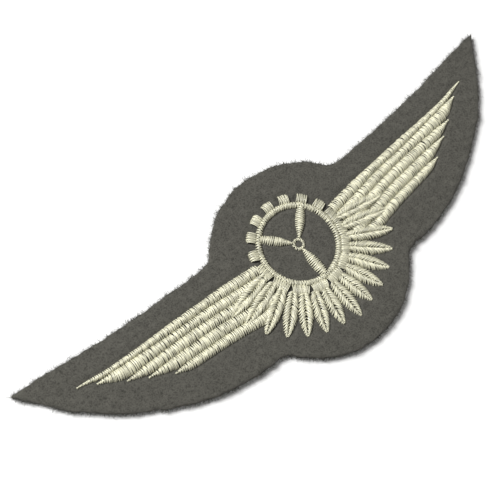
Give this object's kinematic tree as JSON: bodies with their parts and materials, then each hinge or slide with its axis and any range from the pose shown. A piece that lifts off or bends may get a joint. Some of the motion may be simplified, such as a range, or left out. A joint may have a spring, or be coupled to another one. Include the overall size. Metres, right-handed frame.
{
  "type": "embroidered cloth wings badge",
  "caption": "Sew-on grey felt badge with a rounded middle and pointed wings, embroidered in pale thread with feathered wings, a gear ring holding a propeller, and a fan of leaves.",
  "frame": {"origin": "centre of the propeller hub, on the rear face of the backing", "axes": "+X along the span to the right wing seen from the front, +Y towards the top of the gear, +Z out of the embroidered face"},
  "size_m": [0.1304, 0.0431, 0.0024],
  "materials": {
    "felt": "matt wool felt, mid grey, with a fuzzy cut edge",
    "fleece": "matt non-woven backing, off-white",
    "top_thread": "glossy rayon embroidery thread, pale silver cream, satin stitch",
    "bobbin_thread": "matt fine polyester bobbin thread, white"
  },
  "bodies": {
    "root": {"backing_fleece": "fleece", "bobbin_thread_gear": "bobbin_thread", "bobbin_thread_left_wing": "bobbin_thread", "bobbin_thread_propeller": "bobbin_thread", "bobbin_thread_right_wing": "bobbin_thread", "bobbin_thread_wreath": "bobbin_thread", "felt_ground": "felt", "gear_rim": "top_thread", "gear_tooth_01": "top_thread", "gear_tooth_02": "top_thread", "gear_tooth_03": "top_thread", "gear_tooth_04": "top_thread", "gear_tooth_05": "top_thread", "gear_tooth_06": "top_thread", "gear_tooth_07": "top_thread", "gear_tooth_08": "top_thread", "gear_tooth_09": "top_thread", "gear_tooth_10": "top_thread", "gear_tooth_11": "top_thread", "gear_tooth_12": "top_thread", "gear_tooth_13": "top_thread", "gear_tooth_14": "top_thread", "gear_tooth_15": "top_thread", "gear_tooth_16": "top_thread", "left_feather_1": "top_thread", "left_feather_2": "top_thread", "left_feather_3": "top_thread", "left_feather_4": "top_thread", "left_feather_5": "top_thread", "propeller_blade_1": "top_thread", "propeller_blade_2": "top_thread", "propeller_blade_3": "top_thread", "propeller_hub": "top_thread", "right_feather_1": "top_thread", "right_feather_2": "top_thread", "right_feather_3": "top_thread", "right_feather_4": "top_thread", "right_feather_5": "top_thread", "wreath_leaf_01": "top_thread", "wreath_leaf_02": "top_thread", "wreath_leaf_03": "top_thread", "wreath_leaf_04": "top_thread", "wreath_leaf_05": "top_thread", "wreath_leaf_06": "top_thread", "wreath_leaf_07": "top_thread", "wreath_leaf_08": "top_thread", "wreath_leaf_09": "top_thread", "wreath_leaf_10": "top_thread", "wreath_leaf_11": "top_thread", "wreath_leaf_12": "top_thread", "wreath_leaf_13": "top_thread", "wreath_leaf_14": "top_thread", "wreath_leaf_15": "top_thread"}
  },
  "joints": []
}
